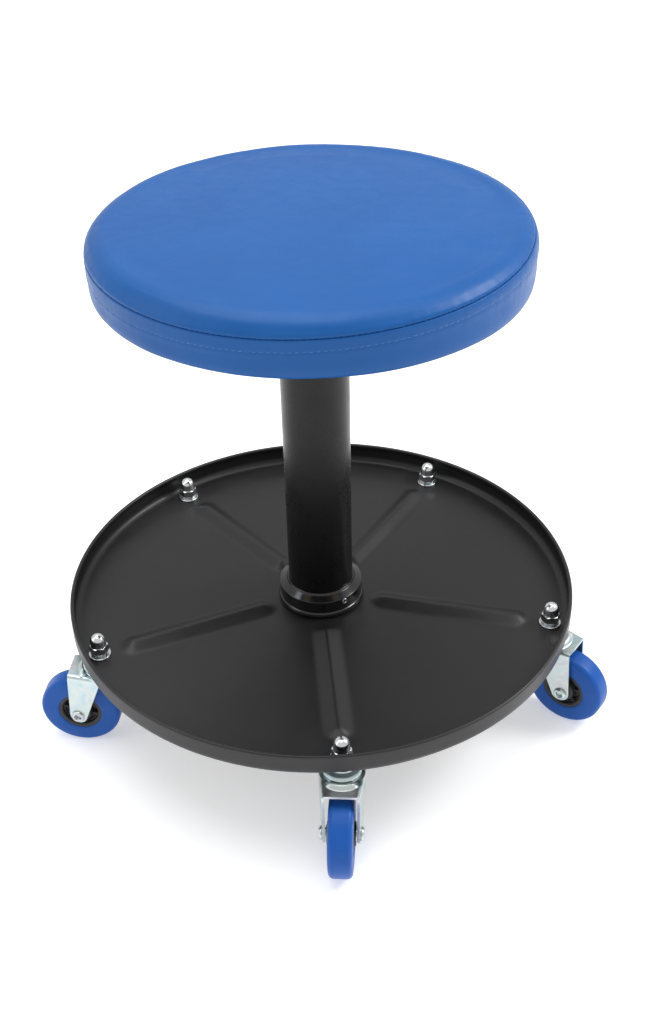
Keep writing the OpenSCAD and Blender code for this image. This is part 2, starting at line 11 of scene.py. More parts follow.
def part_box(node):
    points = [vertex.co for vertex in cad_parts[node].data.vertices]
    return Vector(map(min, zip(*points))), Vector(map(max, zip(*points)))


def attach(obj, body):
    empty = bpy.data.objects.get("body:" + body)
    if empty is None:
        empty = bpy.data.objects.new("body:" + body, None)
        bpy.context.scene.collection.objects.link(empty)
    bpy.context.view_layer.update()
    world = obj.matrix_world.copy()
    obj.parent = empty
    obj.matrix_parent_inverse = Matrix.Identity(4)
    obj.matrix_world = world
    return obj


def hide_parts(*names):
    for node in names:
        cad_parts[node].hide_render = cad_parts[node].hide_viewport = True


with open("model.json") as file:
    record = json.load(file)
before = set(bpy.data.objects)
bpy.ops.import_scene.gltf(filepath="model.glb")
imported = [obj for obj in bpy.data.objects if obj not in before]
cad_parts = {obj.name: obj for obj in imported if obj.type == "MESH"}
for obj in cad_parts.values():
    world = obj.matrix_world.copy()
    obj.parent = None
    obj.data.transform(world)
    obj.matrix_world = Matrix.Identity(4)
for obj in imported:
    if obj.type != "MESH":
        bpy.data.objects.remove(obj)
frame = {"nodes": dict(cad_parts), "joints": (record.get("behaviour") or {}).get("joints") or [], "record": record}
MM = 0.001


bpy.context.view_layer.update()


def box_mm(node):
    low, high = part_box(node)
    return low / MM, high / MM


# ---------------------------------------------------------------- places, all from the frame (mm)
joint = {j["name"]: j for j in frame["joints"]}
seat_low, seat_high = box_mm("seat_cover")
SEAT_R = (seat_high.x - seat_low.x) / 2
SEAT_BASE = seat_low.z
BOARD_LOW = box_mm("seat_board")[0].z
tray_low, tray_high = box_mm("tray_rim")
TRAY_R = (tray_high.x - tray_low.x) / 2
TRAY_UNDER = tray_low.z
RIM_Z = tray_high.z
SHEET = 1.2
TRAY_FLOOR = TRAY_UNDER + SHEET
CASTERS = range(1, 6)


class Caster:
    def __init__(self, n):
        stem = Vector(joint[f"caster_{n}_swivel"]["pos_m"]) / MM
        hub = Vector(joint[f"caster_{n}_roll"]["pos_m"]) / MM
        low, high = box_mm(f"caster_{n}_tyre")
        self.n = n
        self.stem = stem
        self.wheel_r = (high.z - low.z) / 2
        trail = Vector((hub.x - stem.x, hub.y - stem.y, 0))
        self.trail = trail.length
        self.turn = math.atan2(trail.y, trail.x)
        self.place = Matrix.Translation((stem.x, stem.y, 0)) @ Matrix.Rotation(self.turn, 4, "Z")
        self.axle = Vector((self.trail, 0, self.wheel_r))

    def put(self, points):
        """Caster-local mm (x along the trail, z up) to the frame, mm."""
        return [self.place @ Vector(p) for p in points]


casters = {n: Caster(n) for n in CASTERS}


# ---------------------------------------------------------------- materials
class Paint:
    """A node material: Principled, object coordinates in metres, and small helpers."""

    def __init__(self, name, base, rough, metal=0.0, **sockets):
        self.mat = bpy.data.materials.new(name)
        self.mat.use_nodes = True
        self.tree = self.mat.node_tree
        self.tree.nodes.clear()
        self.out = self.add("ShaderNodeOutputMaterial")
        self.bsdf = self.add("ShaderNodeBsdfPrincipled")
        self.tree.links.new(self.bsdf.outputs[0], self.out.inputs["Surface"])
        self.bsdf.inputs["Base Color"].default_value = (*base, 1)
        self.bsdf.inputs["Roughness"].default_value = rough
        self.bsdf.inputs["Metallic"].default_value = metal
        for k, v in sockets.items():
            self.bsdf.inputs[k.replace("_", " ")].default_value = v
        self.coord = self.add("ShaderNodeTexCoord").outputs["Object"]

    def add(self, kind, **props):
        node = self.tree.nodes.new(kind)
        for k, v in props.items():
            setattr(node, k, v)
        return node

    def link(self, a, b):
        self.tree.links.new(a, b)

    def stretch(self, scale):
        node = self.add("ShaderNodeMapping")
        node.inputs["Scale"].default_value = scale
        self.link(self.coord, node.inputs["Vector"])
        return node.outputs[0]

    def noise(self, scale, detail=2.0, rough=0.5, stretch=None, distortion=0.0):
        node = self.add("ShaderNodeTexNoise")
        node.inputs["Scale"].default_value = scale
        node.inputs["Detail"].default_value = detail
        node.inputs["Roughness"].default_value = rough
        node.inputs["Distortion"].default_value = distortion
        self.link(self.stretch(stretch) if stretch else self.coord, node.inputs["Vector"])
        return node.outputs["Fac"]

    def cells(self, scale, feature="SMOOTH_F1", stretch=None):
        node = self.add("ShaderNodeTexVoronoi", feature=feature)
        node.inputs["Scale"].default_value = scale
        self.link(self.stretch(stretch) if stretch else self.coord, node.inputs["Vector"])
        return node.outputs["Distance"]

    def ramp(self, value, stops):
        node = self.add("ShaderNodeValToRGB")
        ends = node.color_ramp.elements
        while len(ends) < len(stops):
            ends.new(0.5)
        for end, (at, colour) in zip(ends, stops):
            end.position = at
            end.color = (*colour, 1)
        self.link(value, node.inputs["Fac"])
        return node.outputs["Color"]

    def spread(self, value, low, high, lo=0.3, hi=0.7):
        node = self.add("ShaderNodeMapRange")
        node.inputs["From Min"].default_value = lo
        node.inputs["From Max"].default_value = hi
        node.inputs["To Min"].default_value = low
        node.inputs["To Max"].default_value = high
        self.link(value, node.inputs["Value"])
        return node.outputs["Result"]

    def both(self, a, b, how="ADD"):
        node = self.add("ShaderNodeMath", operation=how)
        self.link(a, node.inputs[0])
        self.link(b, node.inputs[1])
        return node.outputs[0]

    def times(self, a, k):
        node = self.add("ShaderNodeMath", operation="MULTIPLY")
        self.link(a, node.inputs[0])
        node.inputs[1].default_value = k
        return node.outputs[0]

    def colour(self, value, stops):
        self.link(self.ramp(value, stops), self.bsdf.inputs["Base Color"])

    def roughness(self, value, low, high, lo=0.3, hi=0.7):
        self.link(self.spread(value, low, high, lo, hi), self.bsdf.inputs["Roughness"])

    def bump(self, height, strength, depth_mm):
        node = self.add("ShaderNodeBump")
        node.inputs["Strength"].default_value = strength
        node.inputs["Distance"].default_value = depth_mm * MM
        self.link(height, node.inputs["Height"])
        self.link(node.outputs[0], self.bsdf.inputs["Normal"])


def black_enamel(name, rough, sheen):
    p = Paint(name, (0.012, 0.012, 0.013), rough, Specular_IOR_Level=sheen)
    cloud = p.noise(9, 4, 0.6)
    p.colour(cloud, [(0.3, (0.0075, 0.0073, 0.0080)), (0.7, (0.0115, 0.0112, 0.0122))])
    p.roughness(p.noise(38, 5, 0.62), rough - 0.05, rough + 0.06)
    p.bump(p.both(p.noise(1500, 2), p.times(p.noise(420, 3), 0.8)), 0.22, 0.05)
    return p.mat


def black_gloss(name, rough, sheen, coat):
    p = Paint(name, (0.006, 0.006, 0.0065), rough,
              Specular_IOR_Level=sheen, Coat_Weight=coat, Coat_Roughness=0.08)
    p.colour(p.noise(12, 4, 0.6), [(0.3, (0.0045, 0.0045, 0.005)), (0.7, (0.0085, 0.0085, 0.009))])
    p.roughness(p.noise(46, 4, 0.6), rough - 0.04, rough + 0.06)
    p.bump(p.both(p.noise(900, 2), p.times(p.noise(170, 2), 0.8)), 0.07, 0.04)
    return p.mat


def zinc():
    p = Paint("zinc_plate", (0.66, 0.72, 0.75), 0.3, 1.0)
    tint = p.noise(55, 3, 0.55, distortion=1.2)
    p.colour(tint, [
        (0.25, (0.45, 0.57, 0.61)), (0.42, (0.55, 0.66, 0.68)), (0.52, (0.62, 0.68, 0.65)),
        (0.60, (0.60, 0.61, 0.64)), (0.75, (0.48, 0.61, 0.65))])
    p.roughness(p.noise(160, 4, 0.6), 0.28, 0.44)
    p.bump(p.both(p.noise(900, 3), p.noise(260, 2, stretch=(1, 1, 0.12))), 0.2, 0.04)
    return p.mat


def bright(name, base, rough, spread, grain=0.15):
    p = Paint(name, base, rough, 1.0)
    cloud = p.noise(70, 3)
    p.colour(cloud, [(0.3, tuple(0.92 * c for c in base)), (0.7, base)])
    p.roughness(p.noise(240, 4, 0.6), rough, rough + spread)
    p.bump(p.noise(1200, 2, stretch=(1, 1, 0.15)), grain, 0.02)
    return p.mat


def black_plastic():
    p = Paint("black_plastic", (0.018, 0.018, 0.02), 0.5)
    p.colour(p.noise(60, 3), [(0.3, (0.012, 0.012, 0.014)), (0.7, (0.022, 0.022, 0.025))])
    p.roughness(p.noise(150, 4), 0.42, 0.56)
    p.bump(p.noise(2600, 2), 0.25, 0.04)
    return p.mat


def black_rubber():
    p = Paint("black_rubber", (0.02, 0.02, 0.02), 0.75)
    p.colour(p.noise(90, 4), [(0.3, (0.015, 0.015, 0.015)), (0.7, (0.03, 0.03, 0.03))])
    p.roughness(p.noise(200, 3), 0.66, 0.82)
    p.bump(p.noise(1800, 3), 0.4, 0.06)
    return p.mat


def plywood():
    p = Paint("plywood", (0.55, 0.40, 0.25), 0.62)
    grain = p.noise(26, 6, 0.62, stretch=(1, 9, 14), distortion=0.5)
    p.colour(grain, [(0.2, (0.42, 0.28, 0.16)), (0.5, (0.58, 0.42, 0.26)), (0.8, (0.68, 0.52, 0.34))])
    p.roughness(p.noise(120, 4), 0.55, 0.72)
    p.bump(p.noise(160, 5, 0.6, stretch=(1, 12, 12)), 0.35, 0.12)
    return p.mat


def vinyl():
    p = Paint("blue_vinyl", (0.005, 0.087, 0.305), 0.42, Specular_IOR_Level=0.25)
    cloud = p.noise(14, 5, 0.6)
    p.colour(cloud, [(0.3, (0.0035, 0.076, 0.28)), (0.7, (0.0055, 0.088, 0.31))])
    p.roughness(p.noise(90, 4, 0.6), 0.36, 0.46)
    pebble = p.cells(820)
    fine = p.noise(2100, 3, 0.6)
    p.bump(p.both(p.times(pebble, 1.3), p.times(fine, 0.5)), 0.3, 0.13)
    return p.mat


def thread():
    p = Paint("blue_thread", (0.03, 0.16, 0.44), 0.6, Sheen_Weight=0.15)
    p.colour(p.noise(700, 3), [(0.3, (0.018, 0.12, 0.36)), (0.7, (0.045, 0.20, 0.50))])
    p.roughness(p.noise(900, 2), 0.5, 0.7)
    p.bump(p.noise(3200, 2, stretch=(1, 1, 3)), 0.5, 0.08)
    return p.mat


def tread():
    p = Paint("blue_tread", (0.010, 0.072, 0.34), 0.42, Specular_IOR_Level=0.22)
    p.colour(p.noise(45, 5, 0.6), [(0.3, (0.006, 0.074, 0.33)), (0.7, (0.010, 0.090, 0.38))])
    p.roughness(p.noise(130, 4, 0.6), 0.32, 0.46)
    p.bump(p.both(p.noise(1500, 2), p.times(p.noise(300, 3), 0.6)), 0.25, 0.05)
    return p.mat


paints = {
    "black_enamel": black_enamel("black_enamel", 0.40, 0.44),
    "zinc_plate": zinc(),
    "bright_steel": bright("bright_steel", (0.70, 0.71, 0.73), 0.18, 0.12),
    "nickel_plate": bright("nickel_plate", (0.80, 0.82, 0.83), 0.13, 0.10, 0.08),
    "hard_chrome": bright("hard_chrome", (0.78, 0.78, 0.80), 0.05, 0.06, 0.05),
    "black_plastic": black_plastic(),
    "black_rubber": black_rubber(),
    "plywood": plywood(),
    "foam": black_rubber(),
    "black_gloss": black_gloss("black_gloss", 0.28, 0.27, 0.0),
    "collar_gloss": black_gloss("collar_gloss", 0.18, 0.42, 0.45),
    "blue_vinyl": vinyl(),
    "blue_tread": tread(),
}
thread_paint = thread()
node_slot = {s["node"]: s["material_slot"] for s in frame["record"]["subparts"]}
for node, ob in frame["nodes"].items():
    for place in ob.material_slots:
        place.material = paints[node_slot[node]]


# ---------------------------------------------------------------- mesh helpers (mm in, metres out)
def placed(name, data):
    ob = bpy.data.objects.new(name, data)
    bpy.context.scene.collection.objects.link(ob)
    return ob


def soft_edges(ob, width_mm, angle):
    edge = ob.modifiers.new("edges", "BEVEL")
    edge.width = width_mm * MM
    edge.segments = 2
    edge.limit_method = "ANGLE"
    edge.angle_limit = math.radians(angle)
    edge.use_clamp_overlap = True


def piece(name, verts, faces, body, slot, stands_for=(), sharp=38, paint=None):
    mesh = bpy.data.meshes.new(name)
    mesh.from_pydata([tuple(c * MM for c in v) for v in verts], [], faces)
    mesh.validate()
    work = bmesh.new()
    work.from_mesh(mesh)
    bmesh.ops.recalc_face_normals(work, faces=work.faces)
    work.to_mesh(mesh)
    work.free()
    mesh.shade_smooth()
    mesh.set_sharp_from_angle(angle=math.radians(sharp))
    mesh.materials.append(paint or paints[slot])
    ob = placed(name, mesh)
    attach(ob, body)
    if stands_for:
        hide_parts(*stands_for)
    return ob


def fillet(points, radius, steps=5, closed=True):
    """Rounds the corners of an outline. radius is one number, or one for each point."""
    count = len(points)
    radii = radius if isinstance(radius, (list, tuple)) else [radius] * count
    out = []
    for i, p in enumerate(points):
        p = np.array(p, float)
        r = radii[i]
        if r <= 0 or (not closed and i in (0, count - 1)):
            out.append(tuple(p))
            continue
        a = np.array(points[i - 1], float) - p
        b = np.array(points[(i + 1) % count], float) - p
        la, lb = np.linalg.norm(a), np.linalg.norm(b)
        a, b = a / la, b / lb
        half = math.acos(max(-1, min(1, float(a @ b)))) / 2
        if half > math.radians(88):
            out.append(tuple(p))
            continue
        cut = min(r / math.tan(half), 0.48 * la, 0.48 * lb)
        r = cut * math.tan(half)
        middle = p + (a + b) / np.linalg.norm(a + b) * (r / math.sin(half))
        start, end = p + a * cut - middle, p + b * cut - middle
        t0, t1 = math.atan2(start[1], start[0]), math.atan2(end[1], end[0])
        sweep = (t1 - t0 + math.pi) % (2 * math.pi) - math.pi
        for k in range(steps + 1):
            t = t0 + sweep * k / steps
            out.append((middle[0] + r * math.cos(t), middle[1] + r * math.sin(t)))
    return out


def circle(r, z, segments):
    turns = [2 * math.pi * k / segments for k in range(segments)]
    return [(r * math.cos(t), r * math.sin(t), z) for t in turns]


def between(a, b, wide):
    """The quads that join two closed rows of points, which start at a and at b."""
    return [(a + k, a + (k + 1) % wide, b + (k + 1) % wide, b + k) for k in range(wide)]


def lathe(outline, segments=96, closed=True):
    """Turns an outline of (r, z) about Z. Points on the axis become one vertex."""
    verts, faces, rows = [], [], []
    for r, z in outline:
        if r < 1e-6:
            rows.append([len(verts)])
            verts.append((0, 0, z))
        else:
            rows.append(list(range(len(verts), len(verts) + segments)))
            verts += circle(r, z, segments)
    pairs = list(zip(rows, rows[1:]))
    if closed and not (len(rows[0]) == 1 and len(rows[-1]) == 1):
        pairs.append((rows[-1], rows[0]))
    for low, high in pairs:
        for k in range(segments):
            j = (k + 1) % segments
            if len(low) == 1 and len(high) == 1:
                break
            if len(low) == 1:
                faces.append((low[0], high[k], high[j]))
            elif len(high) == 1:
                faces.append((low[k], high[0], low[j]))
            else:
                faces.append((low[k], low[j], high[j], high[k]))
    return verts, faces


def joined(parts):
    verts, faces = [], []
    for v, f in parts:
        start = len(verts)
        verts += [tuple(p) for p in v]
        faces += [tuple(i + start for i in face) for face in f]
    return verts, faces


def moved(part, matrix):
    return [matrix @ Vector(p) for p in part[0]], part[1]


def upright_at(c):
    """Stands a part that was turned about Z on the caster's axle."""
    return c.place @ Matrix.Translation(c.axle) @ Matrix.Rotation(math.radians(90), 4, "X")


# ---------------------------------------------------------------- tray: one pressed sheet
RIB_HALF = 10.5
RIB_HEIGHT = 4.5
RIB_IN = 41.0
RIB_OUT = 168.0
TRAY_HOLE = 28.5
HOLE_ROUND = 0.4
CORNER = 7.0
LIP = 1.6
RIB_CREST = 0.16
RIB_FOOT = 0.22
RIBS = [math.atan2(c.stem.y, c.stem.x) for c in casters.values()]


def rib_lift(x, y):
    """How far the pressed ribs lift the sheet at a point: a low roof with a soft crest and foot."""
    best = 0.0
    for turn in RIBS:
        along = x * math.cos(turn) + y * math.sin(turn)
        across = -x * math.sin(turn) + y * math.cos(turn)
        if along < 0:
            continue
        over = max(RIB_IN + RIB_HALF - along, 0.0) + max(along - RIB_OUT + RIB_HALF, 0.0)
        t = math.hypot(across, over) / RIB_HALF
        if t >= 1.25:
            continue
        crest, foot = RIB_CREST, RIB_FOOT
        if t < crest:
            h = 1 - crest / 2 - t * t / (2 * crest)
        elif t < 1 - foot:
            h = 1 - t
        elif t < 1 + foot:
            h = (1 + foot - t) ** 2 / (4 * foot)
        else:
            h = 0.0
        best = max(best, h * RIB_HEIGHT / (1 - crest / 2))
    return best


def tray_sheet():
    """Outline of the sheet's upper side, from the hole out, over the rolled lip and back underneath."""
    floor_out = TRAY_R - CORNER
    rows = []
    for k in range(4):
        t = math.pi / 2 * k / 3
        r = TRAY_HOLE + HOLE_ROUND * (1 - math.cos(t))
        rows.append((r, TRAY_FLOOR - HOLE_ROUND * (1 - math.sin(t)), 1))
    r = TRAY_HOLE + 2.0
    while r < floor_out - 1.5:
        rows.append((r, TRAY_FLOOR, 1))
        r += 2.0
    inner = CORNER - SHEET
    for k in range(9):
        t = math.pi / 2 * k / 8
        rows.append((floor_out + inner * math.sin(t), TRAY_FLOOR + inner * (1 - math.cos(t)), 1))
    lip_z = RIM_Z - LIP
    lip_x = TRAY_R - LIP
    wall_in = TRAY_R - SHEET
    for k in range(1, 4):
        rows.append((wall_in, TRAY_FLOOR + inner + (lip_z - 2.2 - TRAY_FLOOR - inner) * k / 4, 0))
    # the lip is a small roll that stands inside the wall
    for k in range(15):
        t = math.radians(214 - 214 * k / 14)
        rows.append((lip_x + LIP * math.cos(t), lip_z + LIP * math.sin(t), 0))
    for k in range(1, 5):
        rows.append((TRAY_R, lip_z - (lip_z - TRAY_UNDER - CORNER) * k / 5, 0))
    for k in range(11):
        t = math.pi / 2 * k / 10
        rows.append((floor_out + CORNER * math.cos(t), TRAY_UNDER + CORNER * (1 - math.sin(t)), 1))
    r = floor_out - 2.0
    while r > TRAY_HOLE + 1.0:
        rows.append((r, TRAY_UNDER, 1))
        r -= 3.0
    rows.append((TRAY_HOLE, TRAY_UNDER, 1))
    return rows


def tray_mesh(segments=540):
    rows = tray_sheet()
    verts, faces = [], []
    for i, (r, z, pressed) in enumerate(rows):
        verts += [(x, y, z + (rib_lift(x, y) if pressed else 0)) for x, y, z in circle(r, z, segments)]
        faces += between(i * segments, (i + 1) % len(rows) * segments, segments)
    return verts, faces


piece("tray_pressing", *tray_mesh(), "base", "black_enamel", ("tray", "tray_rim"), sharp=60)


# ---------------------------------------------------------------- collar and column
socket_low, socket_high = box_mm("column_socket")
tube_low, tube_high = box_mm("column_tube")
COLUMN_R = (tube_high.x - tube_low.x) / 2
FLARE_R = (socket_high.x - socket_low.x) / 2
COLLAR_TOP = socket_high.z
SPIGOT_R = 28.0
SPIGOT_BORE = 20.0
COLLAR_R = FLARE_R - 1.5
SNUG = 0.05
# from its lip round the column, the collar slopes down to an upright band
COLLAR_SLOPE = 4.2
collar = fillet([
    (SPIGOT_BORE, socket_low.z), (SPIGOT_R, socket_low.z), (SPIGOT_R, TRAY_FLOOR),
    (FLARE_R - 2.4, TRAY_FLOOR), (FLARE_R, TRAY_FLOOR + 1.8), (FLARE_R - 1.0, TRAY_FLOOR + 4.4),
    (COLLAR_R - 0.5, TRAY_FLOOR + 5.2), (COLLAR_R, TRAY_FLOOR + 6.0),
    (COLLAR_R, COLLAR_TOP - COLLAR_SLOPE), (COLUMN_R + 2.0, COLLAR_TOP - 1.5),
    (COLUMN_R + 1.2, COLLAR_TOP), (COLUMN_R + SNUG, COLLAR_TOP), (COLUMN_R + SNUG, TRAY_FLOOR + 2),
    (SPIGOT_BORE, TRAY_FLOOR + 2),
], [0.6, 0.6, 0.2, 1.6, 2.0, 1.0, 0.4, 0.4, 0.7, 1.0, 0.5, 0.1, 0.1, 0.3], 8)
piece("column_collar", *lathe(collar, 144), "base", "black_enamel", ("column_socket",), sharp=50,
      paint=paints["collar_gloss"])

WALL = 2.0
TUBE_FLOOR = 3.0
TUBE_HOLE = 4.05
TUBE_STEP = 12.0
tube = fillet([
    (TUBE_HOLE, tube_low.z), (COLUMN_R, tube_low.z), (COLUMN_R, tube_high.z), (COLUMN_R - WALL, tube_high.z),
    (COLUMN_R - WALL, tube_low.z + TUBE_FLOOR), (TUBE_HOLE, tube_low.z + TUBE_FLOOR),
], [0, 0.5, 0.5, 0.3, 0.5, 0], 5)
rows_of_tube = []
for a, b in zip(tube, tube[1:] + tube[:1]):
    rows_of_tube.append(a)
    steps = int(math.hypot(b[0] - a[0], b[1] - a[1]) / TUBE_STEP)
    for k in range(1, steps + 1):
        rows_of_tube.append(tuple(p + (q - p) * k / (steps + 1) for p, q in zip(a, b)))
piece("column_outer_tube", *lathe(rows_of_tube, 144), "base", "black_enamel", ("column_tube",), sharp=50,
      paint=paints["black_gloss"])


# ---------------------------------------------------------------- wheels, turned about their axles
def half_width(node, axis):
    reach = [v.co.dot(axis) / MM for v in frame["nodes"][node].data.vertices]
    return (max(reach) - min(reach)) / 2


def wheel_parts(c):
    """Half the boss's width, half the tread's width, and the hub's radius."""
    low, high = box_mm(f"caster_{c.n}_hub")
    roll = Vector(joint[f"caster_{c.n}_roll"]["axis"]).normalized()
    boss, half = (half_width(f"caster_{c.n}_{part}", roll) for part in ("hub", "tyre"))
    return boss, half, (high.z - low.z) / 2


TREAD_SHOULDER = 4.6
SLEEVE_R = 6.05
BOSS_R = 8.6


def wheel(c):
    boss, half, hub_r = wheel_parts(c)
    r = c.wheel_r
    upright = upright_at(c)
    # tread: soft shoulders, a very slight crown and a fine moulding ridge on each side
    tyre = fillet([
        (hub_r + 0.03, -half + 0.5), (hub_r + 1.2, -half + 0.12), (hub_r + 2.0, -half),
        (r - 7.5, -half + 0.05),
        (r - 0.1, -half + 0.9), (r, 0), (r - 0.1, half - 0.9), (r - 7.5, half - 0.05),
        (hub_r + 2.0, half), (hub_r + 1.2, half - 0.12), (hub_r + 0.03, half - 0.5),
    ], [0.2, 0.3, 0.3, 12, TREAD_SHOULDER, 60, TREAD_SHOULDER, 12, 0.3, 0.3, 0.2], 12)
    piece(f"caster_{c.n}_tread", *moved(lathe(tyre, 120), upright), f"wheel_{c.n}", "blue_tread",
          (f"caster_{c.n}_tyre",), sharp=45)
    side = [
        (SLEEVE_R, boss), (BOSS_R, boss), (BOSS_R + 0.7, half - 0.6), (BOSS_R + 1.0, 4.2), (11.2, 3.4),
        (12.6, 3.4), (12.9, 5.2), (13.7, 5.2), (14.0, half - 1.6), (14.9, half - 0.7), (hub_r, half - 0.7)]
    soft = [0.1, 0.5, 0.4, 0.5, 0.4, 0.3, 0.3, 0.3, 0.3, 0.5, 0.15]
    outline = fillet([(x, -z) for x, z in side] + [(x, z) for x, z in reversed(side)], soft + soft[::-1], 4)
    parts = [lathe(outline, 96)]
    # webs between the boss and the rim, in the dished sides
    for face in (-1, 1):
        for k in range(6):
            t = math.radians(60 * k + 15)
            w, inner, outer, low_z, high_z = 0.8, BOSS_R + 0.6, 13.2, 3.0, half - 2.4
            block = []
            for z, d in ((low_z, 0.0), (high_z - 0.5, 0.0), (high_z, 0.35)):
                for x, y in ((inner, -w + d), (outer, -w + d), (outer, w - d), (inner, w - d)):
                    turned = Matrix.Rotation(t, 2) @ Vector((x, y))
                    block.append((turned.x, turned.y, face * z))
            quads = [(0, 1, 2, 3), (8, 9, 10, 11)] + between(0, 4, 4) + between(4, 8, 4)
            parts.append((block, quads))
    piece(f"caster_{c.n}_wheel_hub", *moved(joined(parts), upright), f"wheel_{c.n}", "black_plastic",
          (f"caster_{c.n}_hub",), sharp=40)


for c in casters.values():
    wheel(c)


# ---------------------------------------------------------------- forks: bent sheet and pressed dish
CROWN_TOP = {n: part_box(f"caster_{n}_fork")[1].z / MM for n in CASTERS}
FORK_W = 28.0
LEG_T = 2.0
BEND_R = 3.0
LEG_BACK = -3.0
LEG_FRONT = 24.5
EYE_R = 6.8
STEM_HALF_W = 17.0
STEM_R = 4.0
DISH_R = 16.5
DISH_DEEP = 8.2
DISH_T = 2.2
RACE_R = 14.0
BRIDGE_BACK = 4.4
FORK_SOFT = 0.25


def leg_span(c, z, top):
    """The leg's outline at a height: how far back and how far forward the sheet reaches."""
    ax, az = c.axle.x, c.axle.z
    if z <= az - EYE_R + 1e-6:
        return ax, ax
    low, high = 1e9, -1e9
    for k in range(73):
        t = math.pi * k / 36
        px, pz = ax + EYE_R * math.cos(t), az + EYE_R * math.sin(t)
        for corner in (LEG_BACK, LEG_FRONT):
            if pz <= z <= top:
                s = (z - pz) / (top - pz)
                x = px + (corner - px) * s
                low, high = min(low, x), max(high, x)
    return low, high


def fork_sheet(c):
    top = CROWN_TOP[c.n]
    slope = (STEM_HALF_W - FORK_W / 2) / c.trail
    columns = 26

    def half(x):
        return FORK_W / 2 + (c.trail - x) * slope

    rows = []
    for k in range(9):
        t = math.radians(-90 + 10 * k)
        rows.append(("leg", c.axle.z + EYE_R * math.sin(t)))
    steps = 16
    start = c.axle.z + EYE_R * math.sin(math.radians(-10))
    for k in range(1, steps + 1):
        rows.append(("leg", start + (top - BEND_R - start) * k / steps))
    for k in range(1, 7):
        rows.append(("bend", math.radians(15 * k)))
    flat = 9
    for k in range(1, flat):
        rows.append(("flat", k / flat))

    def point(side, kind, v, u):
        if kind == "leg":
            low, high = leg_span(c, v, top)
            x = low + (high - low) * u
            return x, side * half(x), v
        if kind == "bend":
            lift = top - BEND_R + BEND_R * math.sin(v)
            inward = BEND_R * (1 - math.cos(v))
            # the sheet behind the bridge runs into the dish
            back = LEG_BACK + (BRIDGE_BACK - LEG_BACK) * (v / (math.pi / 2)) ** 2
            x = back + (LEG_FRONT - back) * u
            return x, side * (half(x) - inward), lift
        y_part = 1 - v
        guess = y_part * (STEM_HALF_W - BEND_R - 0.7)
        back = math.sqrt(max(DISH_R - 0.8, guess + 0.01) ** 2 - guess ** 2)
        x = back + (LEG_FRONT - back) * u
        return x, side * (half(x) - BEND_R) * y_part, top

    rail = [(1, k, v) for k, v in rows] + [(1, "flat", 1.0)] + [(-1, k, v) for k, v in reversed(rows)]
    verts, faces = [], []
    for side, kind, v in rail:
        for j in range(columns + 1):
            verts.append(point(side, kind, v, j / columns))
    wide = columns + 1
    for i in range(len(rail) - 1):
        for j in range(columns):
            faces.append((i * wide + j, i * wide + j + 1, (i + 1) * wide + j + 1, (i + 1) * wide + j))
    return verts, faces


def thicken(verts, faces, depth):
    """Gives an open sheet its thickness inwards, towards the wheel, and closes its edges."""
    mesh = bpy.data.meshes.new("sheet")
    mesh.from_pydata(verts, [], faces)
    work = bmesh.new()
    work.from_mesh(mesh)
    bmesh.ops.remove_doubles(work, verts=work.verts, dist=0.004)
    work.normal_update()
    work.verts.ensure_lookup_table()
    outer = [v.co.copy() for v in work.verts]
    normals = []
    for v in work.verts:
        n = v.normal.copy()
        # out of the fork: away from its middle plane, and up at the crown
        if n.y * v.co.y + n.z * max(0.0, v.co.z - 60) < 0:
            n = -n
        normals.append(n)
    quads = [[v.index for v in f.verts] for f in work.faces]
    rims = [[v.index for v in e.verts] for e in work.edges if len(e.link_faces) == 1]
    work.free()
    bpy.data.meshes.remove(mesh)
    count = len(outer)
    inner = [p - n * depth for p, n in zip(outer, normals)]
    faces = quads + [[i + count for i in reversed(q)] for q in quads]
    faces += [[a, b, b + count, a + count] for a, b in rims]
    return outer + inner, faces


def fork(c):
    top = CROWN_TOP[c.n]
    floor = top - DISH_DEEP
    body = f"fork_{c.n}"
    verts, faces = thicken(*fork_sheet(c), LEG_T)
    ob = piece(f"caster_{c.n}_bent_fork", c.put(verts), faces, body, "zinc_plate", (), sharp=34)
    soft_edges(ob, FORK_SOFT, 50)
    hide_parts(f"caster_{c.n}_fork")
    inside = floor + DISH_T
    dish = fillet([
        (STEM_R + SNUG, floor), (DISH_R, floor), (DISH_R, top), (DISH_R - 1.6, top),
        (DISH_R - 1.9, inside), (RACE_R, inside), (RACE_R, inside + 3.3),
        (RACE_R - 1.6, inside + 3.3), (RACE_R - 2.0, inside), (11.0, inside),
        (10.6, inside + 0.5), (STEM_R + SNUG, inside + 0.5)],
        [0.1, 1.8, 0.5, 0.5, 0.3, 0.2, 0.9, 0.6, 0.2, 0.2, 0.2, 0.1], 5)
    pressed = moved(joined([lathe(dish, 96), shoulder(c)]), c.place)
    piece(f"caster_{c.n}_race_dish", *pressed, body, "zinc_plate", (), sharp=50)


SHOULDER_IN = 14.7
SHOULDER_OUT = 19.4
SHOULDER_RISE = 3.0
SHOULDER_TURN = 47
SHOULDER_FADE = 20
SHOULDER_SUNK = 0.5


